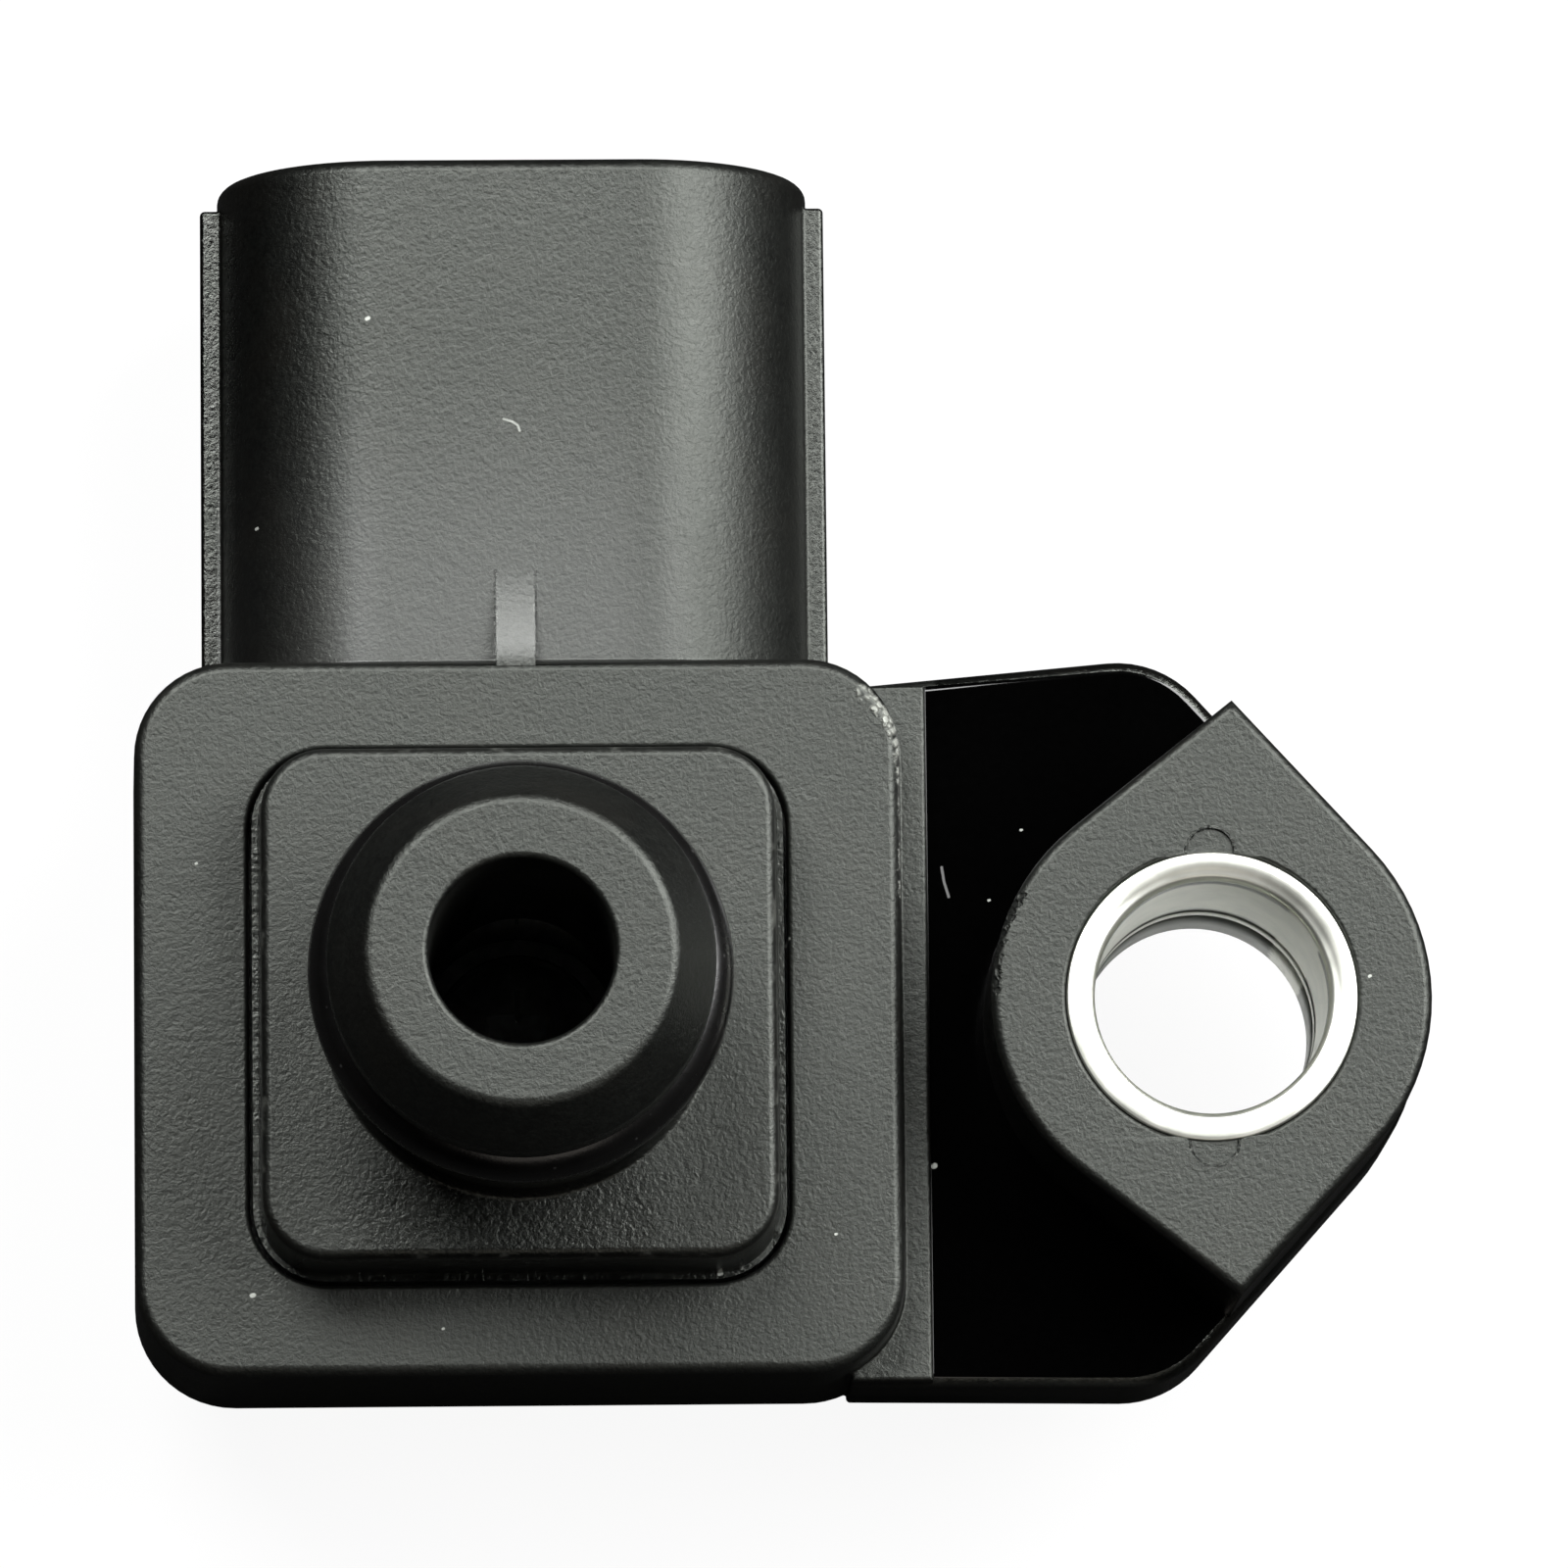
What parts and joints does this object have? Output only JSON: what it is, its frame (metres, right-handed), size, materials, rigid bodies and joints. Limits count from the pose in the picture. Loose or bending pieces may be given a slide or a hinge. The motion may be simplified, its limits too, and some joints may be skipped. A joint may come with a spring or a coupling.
{
  "type": "manifold absolute pressure sensor",
  "caption": "Pressure sensor with an O-ring port on a square seat boss, an oval connector shroud and a fixing ear with a metal sleeve.",
  "frame": {"origin": "on the port's axis at the seat plane, which is the top of the square boss, the ear's pad and the sleeve", "axes": "+Z out along the port, +X towards the fixing ear, +Y towards the connector's mouth"},
  "size_m": [0.0368, 0.0352, 0.0254],
  "materials": {
    "housing_plastic": "glass-filled moulding, dark grey, fine grained",
    "cover_plastic": "glass-filled moulding, dark grey, fine grained",
    "ring_rubber": "black, smooth, lightly oiled",
    "sleeve_steel": "zinc plated, turned",
    "tinned_blade": "tin plated",
    "seal_adhesive": "cured sealing adhesive",
    "board_ceramic": "alumina board",
    "pedestal_glass": "clear glass block",
    "die_silicon": "polished silicon",
    "dam_plastic": "moulded ring",
    "clear_gel": "soft clear gel",
    "chip_plastic": "moulded chip",
    "small_parts": "ceramic with metal ends",
    "wire_metal": "bond wire"
  },
  "bodies": {
    "root": {"housing": "housing_plastic", "port_cover": "cover_plastic", "port_o_ring": "ring_rubber", "fixing_sleeve": "sleeve_steel", "supply_terminal": "tinned_blade", "signal_terminal": "tinned_blade", "ground_terminal": "tinned_blade", "cover_adhesive": "seal_adhesive", "substrate_adhesive": "seal_adhesive", "circuit_substrate": "board_ceramic", "die_pedestal": "pedestal_glass", "pressure_die": "die_silicon", "gel_dam": "dam_plastic", "protective_gel": "clear_gel", "signal_chip": "chip_plastic", "supply_capacitor": "small_parts", "output_capacitor": "small_parts", "filter_capacitor": "small_parts", "trim_resistor": "small_parts", "terminal_wires": "wire_metal", "die_wires": "wire_metal"}
  },
  "joints": []
}
